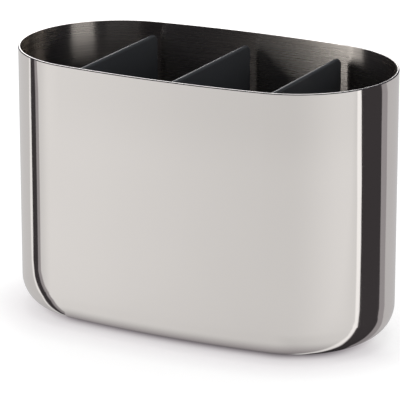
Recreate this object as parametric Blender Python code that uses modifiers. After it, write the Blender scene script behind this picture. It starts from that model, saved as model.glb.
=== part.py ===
# Toothbrush holder: an oval stainless steel cup with a lift-out divided insert.
#
# Metres, +Z up. The origin is the centre of the footprint, on the surface that
# the holder stands on. +X runs along the long side and +Y points to the back.
# The cup and its pad stay put; the insert, a moulded floor with three dividers,
# lifts straight out along +Z.

import math

import bmesh
import bpy
from mathutils import Matrix, Vector

# Steel cup
shell_length = 0.182
shell_width = 0.097
side_bow = 0.0025            # how far each long side bows out past the end arcs
shell_height = 0.1235
steel_thickness = 0.0008
base_fillet = 0.014          # outer radius where the wall turns into the bottom
rim_round_share = 0.25       # of the sheet's thickness
base_ring_width = 0.005      # flat ring between the fillet and the pressed panel
panel_step = 0.001           # how far the panel is pressed up
panel_slope_width = 0.0015

# Non-slip pad under the cup
pad_stand_off = 0.0015       # how far the pad stands out below the steel
pad_side_clearance = 0.0005
pad_edge_round = 0.0004
grip_land_width = 0.0045
grip_groove_width = 0.002
grip_groove_depth = 0.0006
grip_groove_draft = 0.0002
grip_groove_count = 2

# Insert floor
seat_gap = 0.0003            # between faces that rest on each other
drain_space = 0.008          # under the floor, for water to collect
floor_thickness = 0.0024
floor_edge_round = 0.0008
wall_clearance = 0.0006      # floor edge to steel, at the tightest level
lip_height = 0.004
lip_thickness = 0.0014
lip_draft = 0.0002
leg_radius = 0.004
leg_tip_radius = 0.0032
leg_to_tongue_gap = 0.002
socket_wall = 0.0016
socket_height = 0.005        # above the floor
socket_end_setback = 0.003   # socket end to divider end
drain_slot_width = 0.003
drain_slot_pitch = 0.010
drain_slot_side_margin = 0.007    # slot to the side of its compartment
drain_slot_end_margin = 0.012     # slot end to the lip

# Dividers
divider_thickness = 0.0024
divider_pitch = 0.0475
divider_rim_drop = 0.0045    # rim to the top of a divider
divider_wall_gap = 0.004     # divider end to the steel
divider_corner_radius = 0.004
divider_edge_share = 0.46    # edge rounding, of the divider's thickness
tongue_shoulder = 0.0003     # how much thinner a tongue is on each side
tongue_width = 0.012
tongue_end_margin = 0.013    # divider end to the middle of its tongue
tongue_tip_length = 0.003
hook_catch = 0.0008
tongue_root_depth = 0.002    # how far a tongue's root runs up inside its divider

# Mesh resolution and cutting
end_arc_steps = 30
side_arc_steps = 6
fillet_steps = 6
corner_steps = 5
edge_steps = 3
small_edge_steps = 2
slot_end_steps = 6
leg_steps = 16
overrun = 0.002              # how far a cutter runs past what it cuts
sharp_angle = math.radians(35)

# Levels and plan positions that follow from the sizes above
steel_bottom = pad_stand_off
rim_level = steel_bottom + shell_height
panel_top = steel_bottom + panel_step + steel_thickness
floor_bottom = panel_top + drain_space
floor_top = floor_bottom + floor_thickness
divider_bottom = floor_top + seat_gap
divider_top = rim_level - divider_rim_drop
tongue_thickness = divider_thickness - 2 * tongue_shoulder
floor_middle = floor_bottom + floor_thickness / 2
socket_half_width = divider_thickness / 2 + seat_gap + socket_wall
divider_places = {"left": -divider_pitch, "centre": 0, "right": divider_pitch}

# The plan is an oval of four arcs: two end arcs and two long, flatter side arcs
end_radius = shell_width / 2 - side_bow
end_centre = shell_length / 2 - end_radius
side_centre = (end_centre**2 - side_bow**2) / (2 * side_bow)
side_radius = side_centre + shell_width / 2
joint_angle = math.atan2(side_centre, end_centre)


def arc(centre_x, centre_y, radius, start, end, steps):
    """Points along an arc, without its last one."""
    angles = [start + (end - start) * step / steps for step in range(steps)]
    return [(centre_x + radius * math.cos(a), centre_y + radius * math.sin(a)) for a in angles]


def oval(inset):
    """The plan's outline, counter-clockwise, moved in by inset all round."""
    end = end_radius - inset
    side = side_radius - inset
    turn = math.pi - joint_angle
    return (
        arc(end_centre, 0, end, -joint_angle, joint_angle, end_arc_steps)
        + arc(0, -side_centre, side, joint_angle, turn, side_arc_steps)
        + arc(-end_centre, 0, end, turn, turn + 2 * joint_angle, end_arc_steps)
        + arc(0, side_centre, side, -turn, -joint_angle, side_arc_steps)
    )


def oval_half_width(x, inset):
    """Half the plan's width at x, with the outline moved in by inset."""
    if abs(x) < side_radius * math.cos(joint_angle):
        return math.sqrt((side_radius - inset)**2 - x**2) - side_centre
    return math.sqrt((end_radius - inset)**2 - (abs(x) - end_centre)**2)


def steel_inset(level):
    """How far inside the cup's outline its inner face lies at a level."""
    drop = max(steel_bottom + base_fillet - level, 0)
    inner_fillet = base_fillet - steel_thickness
    return base_fillet - math.sqrt(inner_fillet**2 - drop**2)


floor_inset = steel_inset(floor_bottom) + wall_clearance


def add_slab(bm, outline, bottom, top):
    """Add an upright slab with the given outline to a mesh."""
    made = bmesh.ops.create_circle(bm, cap_ends=True, segments=len(outline), radius=1)
    for vert, (x, y) in zip(made["verts"], outline):
        vert.co = (x, y, bottom)
    base = {face for vert in made["verts"] for face in vert.link_faces}
    raised = bmesh.ops.extrude_face_region(bm, geom=list(base))
    top_verts = [item for item in raised["geom"] if isinstance(item, bmesh.types.BMVert)]
    bmesh.ops.translate(bm, verts=top_verts, vec=(0, 0, top - bottom))
    bmesh.ops.recalc_face_normals(bm, faces=bm.faces)


def add_box(bm, low, high):
    """Add a box to a mesh between two corners."""
    size = Vector(high) - Vector(low)
    middle = (Vector(high) + Vector(low)) / 2
    place = Matrix.Translation(middle) @ Matrix.Diagonal((*size, 1))
    bmesh.ops.create_cube(bm, size=1, matrix=place)


def level_face(bm, direction):
    """The face of a slab that looks straight up (1) or straight down (-1)."""
    return max(bm.faces, key=lambda face: (face.normal.z * direction, face.calc_area()))


def step_in(bm, face, width, depth):
    """Inset a face and push its middle out (depth over 0) or in; its middle is returned."""
    bmesh.ops.inset_region(bm, faces=[face], thickness=width, depth=depth, use_even_offset=True)
    return face


def round_edges(bm, edges, radius, steps):
    """Round the given edges of a mesh."""
    bmesh.ops.bevel(bm, geom=edges, offset=radius, segments=steps, profile=0.5, affect="EDGES")


def make_material(name, colour, roughness, metallic):
    """A Principled material with one colour."""
    material = bpy.data.materials.new(name)
    material.use_nodes = True
    shader = material.node_tree.nodes["Principled BSDF"]
    shader.inputs["Base Color"].default_value = (*colour, 1)
    shader.inputs["Roughness"].default_value = roughness
    shader.inputs["Metallic"].default_value = metallic
    material.diffuse_color = (*colour, 1)
    return material


def make_object(name, bm, collection):
    """Turn a mesh under construction into an object in a collection."""
    mesh = bpy.data.meshes.new(name)
    bm.to_mesh(mesh)
    bm.free()
    made = bpy.data.objects.new(name, mesh)
    collection.objects.link(made)
    return made


def make_piece(name, bm, body, material):
    """An object for a real piece, smooth where it is round, held by its body's empty."""
    piece = make_object(name, bm, pieces)
    piece.data.materials.append(material)
    piece.data.shade_smooth()
    piece.data.set_sharp_from_angle(angle=sharp_angle)
    piece.parent = body
    return piece


def make_cutter(name, bm, body):
    """A hidden helper solid for Boolean modifiers."""
    cutter = make_object(name, bm, cutters)
    cutter.hide_render = True
    cutter.display_type = "WIRE"
    cutter.parent = body
    return cutter


def combine(piece, operation, other):
    """Cut a piece with, or join it to, a helper solid."""
    modifier = piece.modifiers.new(other.name, "BOOLEAN")
    modifier.operation = operation
    modifier.solver = "EXACT"
    modifier.object = other


def make_body(name):
    """An empty on the lifting axis that carries the pieces of one body."""
    body = bpy.data.objects.new(name, None)
    body.empty_display_size = end_radius
    pieces.objects.link(body)
    return body


def build_shell(body):
    """The drawn cup: an open surface along its outer face, given the sheet's thickness."""
    bm = bmesh.new()
    add_slab(bm, oval(0), steel_bottom, rim_level)
    bmesh.ops.delete(bm, geom=[level_face(bm, 1)], context="FACES")
    bottom = level_face(bm, -1)
    round_edges(bm, list(bottom.edges), base_fillet, fillet_steps)
    bottom = level_face(bm, -1)
    bottom = step_in(bm, bottom, base_ring_width, 0)
    step_in(bm, bottom, panel_slope_width, -panel_step)
    steel = make_material("polished_steel", (0.78, 0.77, 0.75), 0.22, 1)
    shell = make_piece("steel_shell", bm, body, steel)
    sheet = shell.modifiers.new("sheet", "SOLIDIFY")
    sheet.thickness = steel_thickness
    sheet.offset = -1
    sheet.use_even_offset = True
    sheet.use_quality_normals = True
    rim = shell.modifiers.new("rim", "BEVEL")
    rim.limit_method = "ANGLE"
    rim.angle_limit = math.radians(60)
    rim.width = steel_thickness * rim_round_share
    rim.segments = small_edge_steps


def build_pad(body):
    """The pad: an oval slab in the pressed panel, with oval grip grooves underneath."""
    inset = base_fillet + base_ring_width + panel_slope_width + pad_side_clearance
    bm = bmesh.new()
    add_slab(bm, oval(inset), 0, steel_bottom + panel_step - seat_gap)
    underside = level_face(bm, -1)
    round_edges(bm, list(underside.edges), pad_edge_round, small_edge_steps)
    underside = level_face(bm, -1)
    for _ in range(grip_groove_count):
        underside = step_in(bm, underside, grip_land_width, 0)
        underside = step_in(bm, underside, grip_groove_draft, -grip_groove_depth)
        underside = step_in(bm, underside, grip_groove_width, 0)
        underside = step_in(bm, underside, grip_groove_draft, grip_groove_depth)
    silicone = make_material("silicone", (0.05, 0.05, 0.052), 0.75, 0)
    make_piece("base_pad", bm, body, silicone)


def divider_half_length(x):
    """Half a divider's length at x, so that it stops short of the steel."""
    return oval_half_width(x, steel_thickness + divider_wall_gap)


def tongue_places(x):
    """The middles of a divider's two tongues along Y, front and back."""
    place = divider_half_length(x) - tongue_end_margin
    return (-place, place)


def slot_outline(x, half_length):
    """A long hole with round ends, centred on x and running along Y."""
    radius = drain_slot_width / 2
    reach = half_length - radius
    back_end = arc(x, reach, radius, 0, math.pi, slot_end_steps)
    front_end = arc(x, -reach, radius, math.pi, 2 * math.pi, slot_end_steps)
    return back_end + front_end


def slot_row(start, end):
    """The X places of a compartment's drain slots, centred between its two sides."""
    spare = end - start - 2 * drain_slot_side_margin
    count = int(spare / drain_slot_pitch) + 1
    first = (start + end - (count - 1) * drain_slot_pitch) / 2
    return [first + number * drain_slot_pitch for number in range(count)]


def drain_slot_places():
    """The X places of all drain slots; the left half of the floor mirrors the right half."""
    lip_face = shell_length / 2 - floor_inset - lip_thickness - lip_draft
    inner = slot_row(socket_half_width, divider_pitch - socket_half_width)
    outer = slot_row(divider_pitch + socket_half_width, lip_face)
    right = inner + outer
    return [-x for x in right] + right


def add_sockets(bm):
    """A raised bar across the floor under each divider."""
    for x in divider_places.values():
        end = divider_half_length(x) - socket_end_setback
        low = (x - socket_half_width, -end, floor_middle)
        high = (x + socket_half_width, end, floor_top + socket_height)
        add_box(bm, low, high)


def add_channels(bm):
    """The channel in each bar that takes the divider's lower edge."""
    half_width = divider_thickness / 2 + seat_gap
    for x in divider_places.values():
        end = divider_half_length(x)
        low = (x - half_width, -end, floor_top)
        high = (x + half_width, end, floor_top + socket_height + overrun)
        add_box(bm, low, high)


def add_tongue_slots(bm):
    """Two slots through the floor under each divider."""
    half_width = tongue_thickness / 2 + seat_gap
    half_length = tongue_width / 2 + seat_gap
    for x in divider_places.values():
        for y in tongue_places(x):
            low = (x - half_width, y - half_length, floor_bottom - overrun)
            high = (x + half_width, y + half_length, floor_top + overrun)
            add_box(bm, low, high)


def add_legs(bm):
    """Two tapered legs under each divider, next to its tongues on the inner side."""
    bottom = panel_top + seat_gap
    height = floor_middle - bottom
    from_tongue = tongue_width / 2 + leg_to_tongue_gap + leg_radius
    for x in divider_places.values():
        for y in tongue_places(x):
            middle = (x, y - math.copysign(from_tongue, y), bottom + height / 2)
            bmesh.ops.create_cone(
                bm,
                cap_ends=True,
                segments=leg_steps,
                radius1=leg_tip_radius,
                radius2=leg_radius,
                depth=height,
                matrix=Matrix.Translation(middle),
            )


def add_drain_slots(bm):
    """The long slots that let water through the floor."""
    lip_inset = floor_inset + lip_thickness + lip_draft
    for x in drain_slot_places():
        half_length = oval_half_width(x, lip_inset) - drain_slot_end_margin
        if half_length > drain_slot_width:
            outline = slot_outline(x, half_length)
            add_slab(bm, outline, floor_bottom - overrun, floor_top + overrun)


def build_insert_floor(body, plastic):
    """The insert's floor: an oval tray with a low lip, sockets, legs and drain slots."""
    bm = bmesh.new()
    add_slab(bm, oval(floor_inset), floor_bottom, floor_top + lip_height)
    round_edges(bm, list(level_face(bm, -1).edges), floor_edge_round, small_edge_steps)
    inside = step_in(bm, level_face(bm, 1), lip_thickness, 0)
    step_in(bm, inside, lip_draft, -lip_height)
    floor = make_piece("insert_floor", bm, body, plastic)
    features = (
        ("sockets", "UNION", add_sockets),
        ("legs", "UNION", add_legs),
        ("channels", "DIFFERENCE", add_channels),
        ("tongue_slots", "DIFFERENCE", add_tongue_slots),
        ("drain_slots", "DIFFERENCE", add_drain_slots),
    )
    for name, operation, add_feature in features:
        feature_bm = bmesh.new()
        add_feature(feature_bm)
        combine(floor, operation, make_cutter(name, feature_bm, body))


def tongue_outline(side):
    """A tongue's outline in Y and Z about its middle; its hook is on the given side."""
    half = tongue_width / 2
    catch = floor_bottom - seat_gap - divider_bottom
    tip = catch - tongue_tip_length
    outline = [
        (-half, tongue_root_depth),
        (-half, tip),
        (half - hook_catch, tip),
        (half + hook_catch, catch - hook_catch),
        (half + hook_catch, catch),
        (half, catch),
        (half, tongue_root_depth),
    ]
    return [(side * y, z) for y, z in outline]


def build_divider(side, x, body, plastic):
    """One divider: a blade with rounded edges and two hooked tongues under it."""
    half_length = divider_half_length(x)
    height = divider_top - divider_bottom
    half_thickness = divider_thickness / 2
    bm = bmesh.new()
    add_box(bm, (-half_thickness, -half_length, 0), (half_thickness, half_length, height))
    corners = [
        edge for edge in bm.edges
        if min(vert.co.z for vert in edge.verts) > height / 2
        and abs(edge.verts[0].co.y - edge.verts[1].co.y) < half_length
    ]
    round_edges(bm, corners, divider_corner_radius, corner_steps)
    faces = [face for face in bm.faces if abs(face.normal.x) > math.cos(sharp_angle)]
    outline = [
        edge for face in faces for edge in face.edges
        if max(vert.co.z for vert in edge.verts) > height / 2
    ]
    round_edges(bm, outline, divider_thickness * divider_edge_share, edge_steps)
    name = "divider_" + side
    divider = make_piece(name, bm, body, plastic)
    divider.location = (x, 0, divider_bottom)

    tongue_bm = bmesh.new()
    for y in tongue_places(x):
        outline = [(y + point_y, z) for point_y, z in tongue_outline(math.copysign(1, y))]
        add_slab(tongue_bm, outline, -tongue_thickness / 2, tongue_thickness / 2)
    upright = Matrix(((0, 0, 1, 0), (1, 0, 0, 0), (0, 1, 0, 0), (0, 0, 0, 1)))
    bmesh.ops.transform(tongue_bm, matrix=upright, verts=tongue_bm.verts)
    bmesh.ops.recalc_face_normals(tongue_bm, faces=tongue_bm.faces)
    tongues = make_cutter(name + "_tongues", tongue_bm, body)
    tongues.location = divider.location
    combine(divider, "UNION", tongues)


for old in list(bpy.data.objects):
    bpy.data.objects.remove(old, do_unlink=True)

pieces = bpy.data.collections.new("toothbrush_holder")
cutters = bpy.data.collections.new("cutters")
bpy.context.scene.collection.children.link(pieces)
bpy.context.scene.collection.children.link(cutters)

shell_body = make_body("shell")
build_shell(shell_body)
build_pad(shell_body)

insert_body = make_body("insert")
grey_plastic = make_material("grey_plastic", (0.06, 0.062, 0.068), 0.45, 0)
build_insert_floor(insert_body, grey_plastic)
for divider_side, divider_x in divider_places.items():
    build_divider(divider_side, divider_x, insert_body, grey_plastic)
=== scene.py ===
# Toothbrush holder: an oval stainless steel cup, polished outside and brushed
# inside, with a dark plastic insert that parts it into four compartments.
#
# Metres, +Z up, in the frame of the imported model: +X along the long side, +Y to
# the back, the floor at zero.

import math

import bmesh
import bpy
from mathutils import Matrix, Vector


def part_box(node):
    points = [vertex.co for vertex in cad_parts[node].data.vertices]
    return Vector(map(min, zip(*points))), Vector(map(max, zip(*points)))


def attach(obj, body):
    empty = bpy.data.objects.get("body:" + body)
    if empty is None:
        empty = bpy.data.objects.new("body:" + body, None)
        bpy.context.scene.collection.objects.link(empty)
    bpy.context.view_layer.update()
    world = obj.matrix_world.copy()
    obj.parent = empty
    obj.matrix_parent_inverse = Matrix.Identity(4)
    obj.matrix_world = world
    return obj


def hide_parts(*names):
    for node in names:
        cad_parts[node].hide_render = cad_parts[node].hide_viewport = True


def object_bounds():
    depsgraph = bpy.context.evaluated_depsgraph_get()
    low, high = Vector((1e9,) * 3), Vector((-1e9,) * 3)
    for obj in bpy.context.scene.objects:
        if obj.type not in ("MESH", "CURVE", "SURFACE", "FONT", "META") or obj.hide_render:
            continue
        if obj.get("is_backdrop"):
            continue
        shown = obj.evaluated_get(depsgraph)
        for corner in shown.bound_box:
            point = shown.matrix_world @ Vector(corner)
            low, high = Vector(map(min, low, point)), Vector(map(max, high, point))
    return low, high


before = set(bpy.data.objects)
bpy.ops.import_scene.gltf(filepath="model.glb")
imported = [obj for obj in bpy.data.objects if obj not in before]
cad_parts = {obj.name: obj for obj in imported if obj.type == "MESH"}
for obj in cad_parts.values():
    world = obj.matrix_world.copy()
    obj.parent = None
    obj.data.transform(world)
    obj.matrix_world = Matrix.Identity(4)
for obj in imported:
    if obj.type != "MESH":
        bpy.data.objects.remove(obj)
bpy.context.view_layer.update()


# Camera: a long lens 1.3 metres off, to the right of the front and above the rim. It looks
# down at a point near the middle of the cup.
camera_azimuth = math.radians(27.236)
camera_elevation = math.radians(17.492)
camera_distance = 1.3305
camera_target = Vector((-0.00304, 0, 0.05611))
towards_camera = Vector((
    math.sin(camera_azimuth) * math.cos(camera_elevation),
    -math.cos(camera_azimuth) * math.cos(camera_elevation),
    math.sin(camera_elevation),
))
bpy.ops.object.camera_add(
    location=camera_target + towards_camera * camera_distance,
    rotation=(math.pi / 2 - camera_elevation, 0, camera_azimuth),
)
camera = bpy.context.object
camera.data.lens = 260.8
camera.data.sensor_width = 36
bpy.context.scene.camera = camera
bpy.context.scene.view_settings.view_transform = "Standard"


# Floor: a white table top with a painted shadow round the cup. Glossy rays see painted
# reflections on it: a white board in front, and a bright, a black and a grey one at each end,
# as in a studio. Levels are shares of white, and directions are in degrees from the front.
table_size = 30
pure_white = (1, 1, 1, 1)
shell_low, shell_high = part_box("steel_shell")
half_length, half_width = shell_high.x, shell_high.y
side_bow = 0.0025
end_radius = half_width - side_bow
end_centre = half_length - end_radius

# The floor's colour and glow: as it lights the cup, as the camera sees it, and as mirrored.
plain_white, plain_lift = 0.66, 0.13
seen_white, seen_lift = 0.56, 0.614
mirrored_white, mirrored_lift = 0.18, 0.53

# The faintly pink shadow painted round the cup, weaker on the open side behind on the right.
shade_tint = (1, 0.90, 0.97, 1)
halo_start, halo_end, halo_low = -0.008, 0.018, 0.745
seen_contact_start, seen_contact_end = -0.0195, -0.0065
open_slope, open_start, open_end, open_share = 0.75, 0.055, 0.075, 0.8

# The painted reflection of the white board in front, dimmed in the middle, far out and towards
# the ends, the darker one behind the cup, and painted shade on them close to the cup.
front_glow, middle_dim = 1.25, 0.17
far_dim, far_start, far_end = 0.06, 0.26, 0.40
dim_corner, dim_left, dim_right = (0.092, 0.13), -44, -10
far_left, far_right = -54, -36
lit_corner, lit_left, lit_right = (0.055, -0.02), 18, 85
left_glow, left_glow_start, left_glow_end = 1.06, -78, -58
right_back, left_back, back_softness = 0.83, 0.94, 0.02
end_shade, end_shade_width = 0.10, 0.05
mirrored_contact_start, mirrored_contact_end = -0.020, 0.006

# Painted reflections of boards at the ends, with painted shade near the cup. Each board's edge
# is given by its corners on the floor, from the cup outwards, and its tone is that of the board
# behind it.
side_start, side_softness, edge_softness = 0.055, 0.012, 0.0012
painted_board_shade_low = 0.68
right_painted_boards = (
    ((0.062, -0.0325), (0.078, -0.0272), (0.096, -0.0224), (0.115, -0.0205), (0.130, -0.018),
     (0.136, -0.0135), (0.180, -0.0047), (0.215, 0.002), (0.320, 0.018), (0.520, 0.035)),
    ((0.067, -0.0288), (0.082, -0.022), (0.120, -0.014), (0.130, -0.010), (0.150, -0.002),
     (0.250, 0.0275), (0.350, 0.053), (0.508, 0.080)),
    ((0.082, -0.0138), (0.112, 0.0165), (0.1225, 0.0265), (0.129, 0.038), (0.155, 0.069),
     (0.240, 0.163), (0.394, 0.318)),
    ((0.082, -0.0055), (0.098, 0.0155), (0.109, 0.0278), (0.1145, 0.0365), (0.118, 0.0485),
     (0.152, 0.1075), (0.216, 0.222), (0.318, 0.376)),
)
left_painted_boards = (
    ((-0.055, -0.041), (-0.073, -0.0525), (-0.082, -0.0562), (-0.099, -0.064), (-0.112, -0.0605),
     (-0.136, -0.0575), (-0.165, -0.0635), (-0.458, -0.1315)),
    ((-0.057, -0.039), (-0.073, -0.0482), (-0.088, -0.0533), (-0.101, -0.0585), (-0.118, -0.0535),
     (-0.137, -0.0495), (-0.158, -0.052), (-0.466, -0.0905)),
    ((-0.058, -0.0365), (-0.083, -0.0447), (-0.108, -0.0485), (-0.129, -0.0385),
     (-0.155, -0.0325), (-0.468, -0.018)),
    ((-0.060, -0.0355), (-0.084, -0.0427), (-0.111, -0.043), (-0.130, -0.0335),
     (-0.152, -0.026), (-0.250, -0.0085), (-0.444, 0.010)),
)
right_tones = (1.60, 0.07, 0.51, right_back)
left_tones = (0.50, 0.07, 1.42, left_back)


class Link:
    """A node's output in a shader; a sum with it adds a Math node."""

    def __init__(self, shader, socket):
        self.shader = shader
        self.socket = socket

    def output(self, name):
        """Another output of the same node."""
        return Link(self.shader, self.socket.node.outputs[name])

    def __add__(self, other):
        return self.shader.math("ADD", self, other)

    def __radd__(self, other):
        return self.shader.math("ADD", other, self)

    def __sub__(self, other):
        return self.shader.math("SUBTRACT", self, other)

    def __rsub__(self, other):
        return self.shader.math("SUBTRACT", other, self)

    def __mul__(self, other):
        return self.shader.math("MULTIPLY", self, other)

    def __rmul__(self, other):
        return self.shader.math("MULTIPLY", other, self)


class Shader:
    """The nodes of one finish, or of the room."""

    def __init__(self, owner):
        owner.use_nodes = True
        self.tree = owner.node_tree

    def fill(self, node, values):
        """Give a node's sockets their values or links."""
        for name, value in values.items():
            if isinstance(value, Link):
                self.tree.links.new(value.socket, node.inputs[name])
            else:
                node.inputs[name].default_value = value

    def add(self, kind, settings, values, output=0):
        """Add a node with its settings, then its sockets' values or links."""
        node = self.tree.nodes.new("ShaderNode" + kind)
        for name, setting in settings.items():
            setattr(node, name, setting)
        self.fill(node, values)
        return Link(self, node.outputs[output])

    def math(self, operation, *values):
        """A Math node of one or two values."""
        return self.add("Math", {"operation": operation}, dict(enumerate(values)))

    def mix(self, factor, first, second):
        """A colour between two colours."""
        settings = {"data_type": "RGBA"}
        return self.add("Mix", settings, {"Factor": factor, 6: first, 7: second}, 2)

    def scale(self, colour, factor):
        """A colour made lighter or darker by a factor."""
        settings = {"operation": "SCALE"}
        return self.add("VectorMath", settings, {0: colour, "Scale": factor})

    def ease(self, value, start, end, low=0, high=1, interpolation="SMOOTHSTEP"):
        """A value eased from low to high as another goes from start to end."""
        settings = {"interpolation_type": interpolation}
        values = {"Value": value, 1: start, 2: end, 3: low, 4: high}
        return self.add("MapRange", settings, values)

    def ramp(self, value, start, end, low, high):
        """A value that goes evenly from low to high as another goes from start to end."""
        return self.ease(value, start, end, low, high, "LINEAR")

    def noise(self, stretch, detail, roughness=0.5):
        """Noise in the object's own place, with its scale along X, Y and Z."""
        place = self.add("TexCoord", {}, {}, "Object")
        mapped = self.add("Mapping", {}, {"Vector": place, "Scale": stretch})
        values = {"Vector": mapped, "Scale": 1, "Detail": detail, "Roughness": roughness}
        return self.add("TexNoise", {}, values)

    def bump(self, height, strength, distance):
        """Small relief from a height."""
        values = {"Height": height, "Strength": strength, "Distance": distance}
        return self.add("Bump", {}, values)


def finish(name, metallic, specular=0.5):
    """A new Principled finish: its material, its shader, and the Principled node."""
    material = bpy.data.materials.new(name)
    shader = Shader(material)
    surface = shader.tree.nodes["Principled BSDF"]
    shader.fill(surface, {"Metallic": metallic, "Specular IOR Level": specular})
    return material, shader, surface


bpy.ops.mesh.primitive_plane_add(size=table_size)
table_top = bpy.context.object
table_top.name = "table_top"
table_top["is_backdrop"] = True
table_finish, shader, surface = finish("white_table", metallic=0, specular=0)
place = shader.add("TexCoord", {}, {}, "Object")
across = shader.add("SeparateXYZ", {}, {"Vector": place}, "X")
along = across.output("Y")


def bearing(corner, start, end):
    """Eased from 0 to 1 between two directions from a corner, in degrees from the front."""
    x, y = corner
    angle = shader.math("ARCTAN2", across - x, y - along)
    return shader.ease(angle, math.radians(start), math.radians(end))


def behind(corners):
    """How far a point of the floor lies behind the edge of a painted board."""
    edge = corners[0][1]
    for (x, y), (next_x, next_y) in zip(corners, corners[1:]):
        edge = edge + shader.ramp(across, x, next_x, 0, next_y - y)
    return along - edge


def painted_boards(shade, edges, tones, near):
    """How light the painted reflections of the boards are, behind each edge in turn from the
    white one.
    """
    past, before = 1, shade
    for corners, tone in zip(edges, tones):
        past = past * shader.ease(behind(corners), -edge_softness, edge_softness)
        tone = near * tone
        shade = shade + past * (tone - before)
        before = tone
    return shade


camera_sees = shader.add("LightPath", {}, {}, "Is Camera Ray")
gloss_sees = camera_sees.output("Is Glossy Ray")
beyond_end = shader.math("MAXIMUM", shader.math("ABSOLUTE", across) - end_centre, 0)
from_axis = shader.math("SQRT", beyond_end * beyond_end + along * along)
bow = side_bow * (1 - shader.math("MINIMUM", across * across * (1 / end_centre**2), 1))
from_cup = from_axis - end_radius - bow
# The painted reflection of the white board in front, dimmed in places.
dimmer = bearing(dim_corner, dim_left, dim_right) * (1 - bearing(lit_corner, lit_left, lit_right))
far = bearing(dim_corner, far_left, far_right) * shader.ease(from_cup, far_start, far_end)
front = front_glow - middle_dim * dimmer - far_dim * far
left_dimmer = 1 - bearing(left_painted_boards[0][0], left_glow_start, left_glow_end)
left_front = front - (front_glow - left_glow) * left_dimmer
right_front = front - end_shade * shader.ease(behind(right_painted_boards[0]), -end_shade_width, 0)
back = shader.ease(across, -side_start, side_start, left_back, right_back)
# Painted shade in the mirrored floor close to the cup.
contact = shader.ease(from_cup, mirrored_contact_start, mirrored_contact_end)
painted_board_shade = shader.ease(from_cup, mirrored_contact_start, mirrored_contact_end, painted_board_shade_low, 1)
middle = (front + (back - front) * shader.ease(along, -back_softness, back_softness)) * contact
right_end = shader.ease(across, side_start, side_start + side_softness)
left_end = shader.ease(across, -side_start, -side_start - edge_softness)
# Painted reflections of the boards at each end, for glossy rays.
right_side = painted_boards(right_front * contact, right_painted_boards, right_tones, painted_board_shade)
left_side = painted_boards(left_front * contact, left_painted_boards, left_tones, painted_board_shade)
mirrored = middle + right_end * (right_side - middle) + left_end * (left_side - middle)
# Painted shadow round the cup, as the camera sees it.
core = shader.ease(from_cup, seen_contact_start, seen_contact_end)
halo = shader.ramp(from_cup, halo_start, halo_end, halo_low, 1)
open_side = shader.ease(along + across * open_slope, open_start, open_end)
seen = core * (halo + (1 - halo) * open_side * open_share)
# The floor's colour: the painted shadow for the camera and the painted reflections for glossy
# rays, tinted pink in the painted shade.
tint = shader.mix(seen + (mirrored - seen) * gloss_sees, shade_tint, pure_white)
seen_base = (seen_white - plain_white) * camera_sees
mirrored_base = (mirrored_white * mirrored - plain_white) * gloss_sees
base = plain_white + seen_base + mirrored_base
seen_glow = (seen_lift * seen - plain_lift) * camera_sees
mirrored_glow = (mirrored_lift * mirrored - plain_lift) * gloss_sees
lift = plain_lift + seen_glow + mirrored_glow
shader.fill(surface, {
    "Base Color": shader.scale(tint, base),
    "Roughness": 1,
    "Emission Color": shader.scale(tint, lift),
    "Emission Strength": 1,
})
table_top.data.materials.append(table_finish)


# Light: a large softbox overhead, one low on each side of the front and one low behind,
# with a weak reflector in front and one behind. The left softbox is brighter towards the
# front, so it has two parts. The room is white to the camera, and dark in the steel.
room_light = (0.55, 0.55, 0.55, 1)
mirrored_room = (0.046, 0.045, 0.056, 1)

# Azimuth and elevation in degrees, distance, width and height in metres, power in watts.
softboxes = (
    ("softbox_above", 180, 81, 1.4, 0.9, 0.9, 4.0),
    ("softbox_left_inner", -37.6, 17, 1.5, 0.186, 0.8, 2.3),
    ("softbox_left_outer", -48.8, 17, 1.5, 0.408, 0.8, 2.78),
    ("softbox_right", 72.1, 17, 1.5, 0.742, 0.8, 3.9),
    ("softbox_behind", 211.6, 18, 1.6, 0.5, 0.6, 2.9),
    ("reflector_behind", 192.8, 18, 1.6, 0.49, 0.6, 0.4),
    ("reflector_front", 22, 17, 1.5, 1.1, 0.8, 0.45),
)
for name, azimuth, elevation, distance, width, height, power in softboxes:
    angle, rise = math.radians(azimuth), math.radians(elevation)
    spot = Vector((
        math.sin(angle) * math.cos(rise),
        -math.cos(angle) * math.cos(rise),
        math.sin(rise),
    )) * distance
    bpy.ops.object.light_add(type="AREA", location=spot, rotation=(math.pi / 2 - rise, 0, angle))
    softbox = bpy.context.object
    softbox.name = name
    softbox.data.shape = "RECTANGLE"
    softbox.data.size, softbox.data.size_y = width, height
    softbox.data.energy = power

world = bpy.context.scene.world or bpy.data.worlds.new("room")
bpy.context.scene.world = world
room = Shader(world)
camera_sees = room.add("LightPath", {}, {}, "Is Camera Ray")
lit = room.mix(camera_sees.output("Is Glossy Ray"), room_light, mirrored_room)
background = room.tree.nodes["Background"]
room.fill(background, {"Color": room.mix(camera_sees, lit, pure_white), "Strength": 1})


# Steel cup: drawn from one stainless sheet, then its cut edge is bevelled outside and
# eased inside. The outside is polished, the inside keeps the brush lines round the wall.
wall_height = shell_high.z - shell_low.z
sheet_thickness = 0.0008
base_fillet = 0.014
base_ring = 0.005
panel_rise = 0.001
panel_slope = 0.0015
rim_bevel = 0.0004
rim_inner_round = 0.0001
side_centre = (end_centre**2 - side_bow**2) / (2 * side_bow)
side_radius = side_centre + half_width
end_angle = math.atan2(side_centre, end_centre)
side_angle = math.pi - 2 * end_angle
end_steps = 150
side_steps = 24
fillet_steps = 14
rim_round_steps = 4
merge_distance = 1e-6
smooth_angle = math.radians(40)

# How a face is told by its normal: one looking along an axis, one straight down, or a wall.
flat_on = 0.9
straight_down = -0.9999
upright = 0.1

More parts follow.
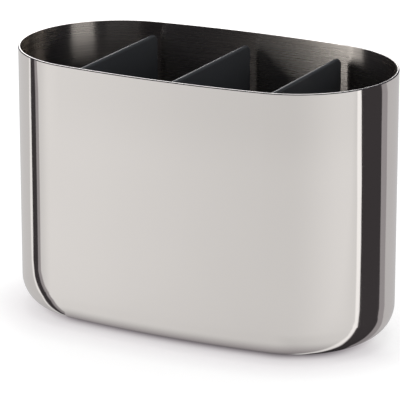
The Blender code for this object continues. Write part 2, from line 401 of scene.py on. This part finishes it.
# The two finishes. A pair of colours or roughness goes from low noise to high, and a span is
# the part of the noise that counts. Noise scales are per metre along X, Y and Z, and a relief
# is a bump's strength and depth.
polished_slot, brushed_slot = 0, 1
cloud_span = 0.3, 0.7
line_span = 0.35, 0.65
grain_span = 0.6, 1.4
grain_roughness = 0.6
polished_colours = (0.776, 0.741, 0.713, 1), (0.808, 0.772, 0.744, 1)
polished_roughness = 0.045, 0.075
polished_grain, polished_clouds = (30, 30, 2600), (18, 18, 18)
polished_relief = 0.02, 0.00002
brushed_colours = (0.545, 0.50, 0.455, 1), (0.67, 0.615, 0.56, 1)
brushed_roughness = 0.25, 0.31
brushed_grain, brushed_lines, brushed_clouds = (28, 28, 1900), (20, 20, 2600), (22, 22, 60)
brushed_relief = 0.04, 0.00005
brushed_turn = 0.25


def edit(piece):
    """Start editing a piece, with nothing selected."""
    bpy.ops.object.select_all(action="DESELECT")
    piece.select_set(True)
    bpy.context.view_layer.objects.active = piece
    bpy.ops.object.mode_set(mode="EDIT")
    bpy.ops.mesh.select_all(action="DESELECT")


def pick(kind, test):
    """Select only the vertices, edges or faces of the edited mesh that pass a test."""
    mode = {"verts": "VERT", "edges": "EDGE", "faces": "FACE"}[kind]
    bpy.ops.mesh.select_mode(type=mode)
    bpy.ops.mesh.select_all(action="DESELECT")
    mesh = bmesh.from_edit_mesh(bpy.context.edit_object.data)
    for item in getattr(mesh, kind):
        if test(item):
            item.select_set(True)
    mesh.select_flush_mode()
    bmesh.update_edit_mesh(bpy.context.edit_object.data)


def lowest(item):
    """The level of the lowest corner of a face or an edge."""
    return min(vert.co.z for vert in item.verts)


def highest(item):
    """The level of the highest corner of a face or an edge."""
    return max(vert.co.z for vert in item.verts)


def round_off(radius, segments):
    """Round the selected edges."""
    bpy.ops.mesh.bevel(offset=radius, segments=segments, profile=0.5, affect="EDGES")


def raise_up(height):
    """Extrude the selected face straight up into a closed block."""
    bpy.ops.mesh.extrude_region_move(TRANSFORM_OT_translate={"value": (0, 0, height)})
    bpy.ops.mesh.select_all(action="SELECT")
    bpy.ops.mesh.normals_make_consistent(inside=False)


def modify(piece, kind, settings):
    """Add a modifier to a piece and apply it."""
    bpy.ops.object.select_all(action="DESELECT")
    piece.select_set(True)
    bpy.context.view_layer.objects.active = piece
    modifier = piece.modifiers.new(kind.lower(), kind)
    for name, value in settings.items():
        setattr(modifier, name, value)
    bpy.ops.object.modifier_apply(modifier=modifier.name)


def complete(piece, name, body, replaced, finishes):
    """Name a shaped piece, shade it, and fix it to its body in place of a CAD node."""
    piece.name = piece.data.name = name
    for material in finishes:
        piece.data.materials.append(material)
    bpy.ops.object.select_all(action="DESELECT")
    piece.select_set(True)
    bpy.context.view_layer.objects.active = piece
    bpy.ops.object.shade_smooth_by_angle(angle=smooth_angle)
    modify(piece, "WEIGHTED_NORMAL", {"keep_sharp": True})
    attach(piece, body)
    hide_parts(replaced)


def oval_outline(inset, level):
    """A mesh of one oval face, made of the four arcs of the cup's plan moved in."""
    radius = end_radius - inset
    bpy.ops.object.select_all(action="DESELECT")
    bpy.ops.mesh.primitive_circle_add(vertices=4, radius=radius, location=(end_centre, 0, level))
    piece = bpy.context.object
    bpy.ops.object.transform_apply(location=True, rotation=False, scale=False)
    edit(piece)
    pick("verts", lambda vert: vert.co.x < end_centre + radius / 2)
    bpy.ops.mesh.delete(type="VERT")
    bpy.ops.mesh.select_all(action="SELECT")
    for x, y, angle, steps in (
        (end_centre, 0, end_angle, end_steps // 2),
        (0, -side_centre, side_angle, side_steps),
        (-end_centre, 0, 2 * end_angle, end_steps),
        (0, side_centre, side_angle, side_steps),
        (end_centre, 0, end_angle, end_steps // 2),
    ):
        bpy.ops.mesh.spin(steps=steps, angle=-angle, center=(x, y, level), axis=(0, 0, 1))
    bpy.ops.mesh.select_all(action="SELECT")
    bpy.ops.mesh.remove_doubles(threshold=merge_distance)
    bpy.ops.mesh.edge_face_add()
    return piece


cup = oval_outline(0, shell_low.z)
raise_up(wall_height)
pick("faces", lambda face: face.normal.z > flat_on)
bpy.ops.mesh.delete(type="FACE")
pick("edges", lambda edge: highest(edge) < shell_low.z + sheet_thickness)
round_off(base_fillet, fillet_steps)
pick("faces", lambda face: face.normal.z < straight_down)
bpy.ops.mesh.inset(thickness=base_ring, depth=0)
bpy.ops.mesh.inset(thickness=panel_slope, depth=-panel_rise)
bpy.ops.object.mode_set(mode="OBJECT")

polished, shader, surface = finish("polished_steel", metallic=1)
grain = shader.noise(polished_grain, detail=3)
clouds = shader.noise(polished_clouds, detail=2)
shader.fill(surface, {
    "Base Color": shader.mix(clouds, *polished_colours),
    "Roughness": shader.ease(clouds, *cloud_span, *polished_roughness),
    "Normal": shader.bump(grain, *polished_relief),
})
brushed, shader, surface = finish("brushed_steel", metallic=1)
grain = shader.noise(brushed_grain, detail=4, roughness=grain_roughness)
lines = shader.noise(brushed_lines, detail=3, roughness=grain_roughness)
clouds = shader.noise(brushed_clouds, detail=2)
shader.fill(surface, {
    "Base Color": shader.mix(shader.ease(lines, *line_span), *brushed_colours),
    "Roughness": shader.ease(clouds + grain, *grain_span, *brushed_roughness),
    "Anisotropic": 1.0,
    "Anisotropic Rotation": brushed_turn,
    "Normal": shader.bump(grain, *brushed_relief),
})
cup.data.materials.append(polished)
cup.data.materials.append(brushed)
modify(cup, "SOLIDIFY", {
    "thickness": sheet_thickness,
    "offset": -1,
    "use_even_offset": True,
    "use_quality_normals": True,
    "material_offset": brushed_slot,
})
edit(cup)
for slot, radius, segments in (
    (polished_slot, rim_bevel, 1),
    (brushed_slot, rim_inner_round, rim_round_steps),
):
    pick("edges", lambda edge: lowest(edge) > shell_high.z - radius
         and any(face.material_index == slot and abs(face.normal.z) < upright
                 for face in edge.link_faces)
         and any(face.normal.z > flat_on for face in edge.link_faces))
    round_off(radius, segments)
bpy.ops.object.mode_set(mode="OBJECT")
complete(cup, "polished_cup", "shell", "steel_shell", ())


# Pad: black silicone, pressed into the panel under the cup and bonded there. It is
# matt and slightly pitted, with two oval grooves for grip.
silicone_specular = 0.3
silicone_colours = (0.020, 0.020, 0.021, 1), (0.030, 0.030, 0.031, 1)
silicone_roughness = 0.70, 0.80
silicone_pits = (900, 900, 900)
silicone_relief = 0.2, 0.00004

silicone, shader, surface = finish("silicone", metallic=0, specular=silicone_specular)
pits = shader.noise(silicone_pits, detail=2)
shader.fill(surface, {
    "Base Color": shader.mix(pits, *silicone_colours),
    "Roughness": shader.ease(pits, *cloud_span, *silicone_roughness),
    "Normal": shader.bump(pits, *silicone_relief),
})
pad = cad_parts["base_pad"]
pad.data.materials.clear()
pad.data.materials.append(silicone)


# Insert floor: a tray moulded in dark plastic with a low lip. It stands on six short
# legs, lets water through long slots, and has a socket bar for each divider.
tray_low, tray_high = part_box("insert_floor")
tray_inset = half_length - tray_high.x
tray_thickness = 0.0024
tray_edge_round = 0.0008
lip_height = 0.004
lip_thickness = 0.0014
lip_draft = 0.0002
lip_round = 0.0004
socket_height = 0.005
socket_half_width = 0.0031
socket_setback = 0.003
socket_round = 0.0006
channel_half_width = 0.0015
tongue_width = 0.012
tongue_end_margin = 0.013
tongue_half_thickness = 0.0009
play = 0.0003
leg_radius = 0.004
leg_tip_radius = 0.0032
leg_gap = 0.002
slot_width = 0.003
slot_end_margin = 0.012
slot_places = (0.01375, 0.02375, 0.03375, 0.05896, 0.06896, 0.07896)
slot_end_share = 0.499       # of the slot's width, just short of a full half round
slot_end_steps = 8
leg_steps = 32
edge_steps = 3
small_edge_steps = 2
overrun = 0.001
tray_top = tray_high.z - socket_height
tray_bottom = tray_top - tray_thickness
tray_middle = tray_top - tray_thickness / 2
plastic_colours = (0.038, 0.041, 0.046, 1), (0.047, 0.051, 0.057, 1)
plastic_roughness = 0.38, 0.46
plastic_grain, plastic_clouds = (1500, 1500, 1500), (25, 25, 25)
plastic_relief = 0.15, 0.00004


def box(low, high):
    """A box between two corners, left in edit mode."""
    bpy.ops.object.select_all(action="DESELECT")
    low, high = Vector(low), Vector(high)
    bpy.ops.mesh.primitive_cube_add(size=1, location=(low + high) / 2, scale=high - low)
    piece = bpy.context.object
    bpy.ops.object.transform_apply(location=True, rotation=False, scale=True)
    edit(piece)
    return piece


def join(pieces):
    """Make one mesh of separate pieces that don't touch."""
    if bpy.context.object and bpy.context.object.mode == "EDIT":
        bpy.ops.object.mode_set(mode="OBJECT")
    bpy.ops.object.select_all(action="DESELECT")
    for piece in pieces:
        piece.select_set(True)
    bpy.context.view_layer.objects.active = pieces[0]
    bpy.ops.object.join()
    return pieces[0]


def repeat(piece, place, turned=False):
    """A copy of a piece with a mesh of its own, half turned if asked, then moved."""
    bpy.ops.object.select_all(action="DESELECT")
    piece.select_set(True)
    bpy.context.view_layer.objects.active = piece
    bpy.ops.object.duplicate(linked=False)
    copy = bpy.context.object
    copy.rotation_euler.z = math.pi if turned else 0
    copy.location = place
    bpy.ops.object.transform_apply(location=True, rotation=True, scale=False)
    return copy


def combine(piece, operation, other):
    """Join another mesh to a piece, or cut the piece with it."""
    modify(piece, "BOOLEAN", {"operation": operation, "solver": "EXACT", "object": other})
    bpy.data.objects.remove(other)


def plan_half_width(x, inset):
    """Half the width of the cup's plan at x, moved in."""
    if abs(x) < side_radius * math.cos(end_angle):
        return math.sqrt((side_radius - inset)**2 - x**2) - side_centre
    return math.sqrt((end_radius - inset)**2 - (abs(x) - end_centre)**2)


dividers = {}
for side in ("left", "centre", "right"):
    low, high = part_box("divider_" + side)
    dividers[side] = ((low.x + high.x) / 2, high.y)

tray = oval_outline(tray_inset, tray_bottom)
raise_up(tray_thickness + lip_height)
pick("edges", lambda edge: highest(edge) < tray_middle)
round_off(tray_edge_round, edge_steps)
pick("faces", lambda face: face.normal.z > flat_on)
bpy.ops.mesh.inset(thickness=lip_thickness, depth=0)
bpy.ops.mesh.inset(thickness=lip_draft, depth=-lip_height)
pick("edges", lambda edge: lowest(edge) > tray_top + lip_height / 2
     and any(abs(face.normal.z) < upright for face in edge.link_faces))
round_off(lip_round, small_edge_steps)
bpy.ops.object.mode_set(mode="OBJECT")

bpy.ops.object.select_all(action="DESELECT")
bpy.ops.mesh.primitive_cone_add(
    vertices=leg_steps,
    radius1=leg_tip_radius,
    radius2=leg_radius,
    depth=tray_middle - tray_low.z,
    location=(0, 0, (tray_middle + tray_low.z) / 2),
)
leg = bpy.context.object
bpy.ops.object.transform_apply(location=True, rotation=False, scale=False)
edit(leg)
pick("edges", lambda edge: highest(edge) < tray_low.z + play)
round_off(lip_round, small_edge_steps)
bpy.ops.object.mode_set(mode="OBJECT")
reach = tongue_width / 2 + play
wide = tongue_half_thickness + play
tongue_slot = box((-wide, -reach, tray_bottom - overrun), (wide, reach, tray_top + overrun))
bpy.ops.object.mode_set(mode="OBJECT")

bars, channels, tongue_slots, legs = [], [], [], []
for x, half in dividers.values():
    end = half - socket_setback
    bars.append(box(
        (x - socket_half_width, -end, tray_middle),
        (x + socket_half_width, end, tray_high.z),
    ))
    pick("edges", lambda edge: highest(edge) > tray_top)
    round_off(socket_round, edge_steps)
    bpy.ops.object.mode_set(mode="OBJECT")
    channels.append(box(
        (x - channel_half_width, -half, tray_top),
        (x + channel_half_width, half, tray_high.z + overrun),
    ))
    bpy.ops.object.mode_set(mode="OBJECT")
    for turn in (-1, 1):
        y = turn * (half - tongue_end_margin)
        tongue_slots.append(repeat(tongue_slot, (x, y, 0)))
        y = y - turn * (tongue_width / 2 + leg_gap + leg_radius)
        legs.append(repeat(leg, (x, y, 0)))
bpy.data.objects.remove(leg)
bpy.data.objects.remove(tongue_slot)
drains = []
for x in slot_places:
    reach = plan_half_width(x, tray_inset + lip_thickness + lip_draft) - slot_end_margin
    drain = box(
        (x - slot_width / 2, -reach, tray_bottom - overrun),
        (x + slot_width / 2, reach, tray_top + overrun),
    )
    pick("edges", lambda edge: highest(edge) - lowest(edge) > tray_thickness)
    round_off(slot_width * slot_end_share, slot_end_steps)
    bpy.ops.object.mode_set(mode="OBJECT")
    drains += [drain, repeat(drain, (0, 0, 0), True)]
for operation, parts in (
    ("UNION", bars), ("UNION", legs), ("DIFFERENCE", channels),
    ("DIFFERENCE", tongue_slots), ("DIFFERENCE", drains),
):
    combine(tray, operation, join(parts))

plastic, shader, surface = finish("dark_plastic", metallic=0)
grain = shader.noise(plastic_grain, detail=2)
clouds = shader.noise(plastic_clouds, detail=2)
shader.fill(surface, {
    "Base Color": shader.mix(clouds, *plastic_colours),
    "Roughness": shader.ease(clouds, *cloud_span, *plastic_roughness),
    "Normal": shader.bump(grain, *plastic_relief),
})
complete(tray, "insert_tray", "insert", "insert_floor", (plastic,))


# Dividers: three moulded blades with rounded edges, the middle one a little longer.
# Each stands in its socket bar and is held by two hooked tongues that snap in below.
blade_thickness = 0.0024
blade_corner = 0.004
blade_edge_round = 0.0011
corner_steps = 10
blade_edge_steps = 5
hook_reach = 0.0008
tongue_root = 0.002
blade_bottom = tray_top + play
hook_level = tray_bottom - play
blade_low, blade_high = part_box("divider_right")

tongue_end = tongue_width / 2
tongue = box(
    (-tongue_half_thickness, -tongue_end, blade_low.z),
    (tongue_half_thickness, tongue_end, blade_bottom + tongue_root),
)
bpy.ops.mesh.select_all(action="SELECT")
bpy.ops.mesh.bisect(plane_co=(0, 0, hook_level), plane_no=(0, 0, 1))
pick("faces", lambda face: highest(face) < hook_level + hook_reach / 2
     and face.normal.y > flat_on)
bpy.ops.mesh.extrude_region_move(TRANSFORM_OT_translate={"value": (0, hook_reach, 0)})
bpy.ops.mesh.select_all(action="SELECT")
bpy.ops.mesh.bisect(plane_co=(0, 0, hook_level - hook_reach), plane_no=(0, 0, 1))
pick("verts", lambda vert: vert.co.z < blade_low.z + hook_reach / 2
     and vert.co.y > tongue_end + hook_reach / 2)
bpy.ops.transform.translate(value=(0, -2 * hook_reach, 0))
bpy.ops.object.mode_set(mode="OBJECT")


def blade(x, half):
    """A blade with its two tongues, hooks outwards."""
    piece = box(
        (x - blade_thickness / 2, -half, blade_bottom),
        (x + blade_thickness / 2, half, blade_high.z),
    )
    pick("edges", lambda edge: lowest(edge) > blade_bottom + blade_corner
         and abs(edge.verts[0].co.x - edge.verts[1].co.x) > blade_thickness / 2)
    round_off(blade_corner, corner_steps)
    pick("edges", lambda edge: highest(edge) > blade_bottom + blade_corner
         and any(abs(face.normal.x) > flat_on for face in edge.link_faces))
    round_off(blade_edge_round, blade_edge_steps)
    bpy.ops.object.mode_set(mode="OBJECT")
    reach = half - tongue_end_margin
    tongues = [repeat(tongue, (x, reach, 0)), repeat(tongue, (x, -reach, 0), True)]
    combine(piece, "UNION", join(tongues))
    return piece


right_x, right_half = dividers["right"]
blades = {"centre": blade(*dividers["centre"]), "right": blade(right_x, right_half)}
blades["left"] = repeat(blades["right"], (dividers["left"][0] - right_x, 0, 0))
bpy.data.objects.remove(tongue)
for side, piece in blades.items():
    complete(piece, "blade_" + side, "insert", "divider_" + side, (plastic,))


low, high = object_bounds()
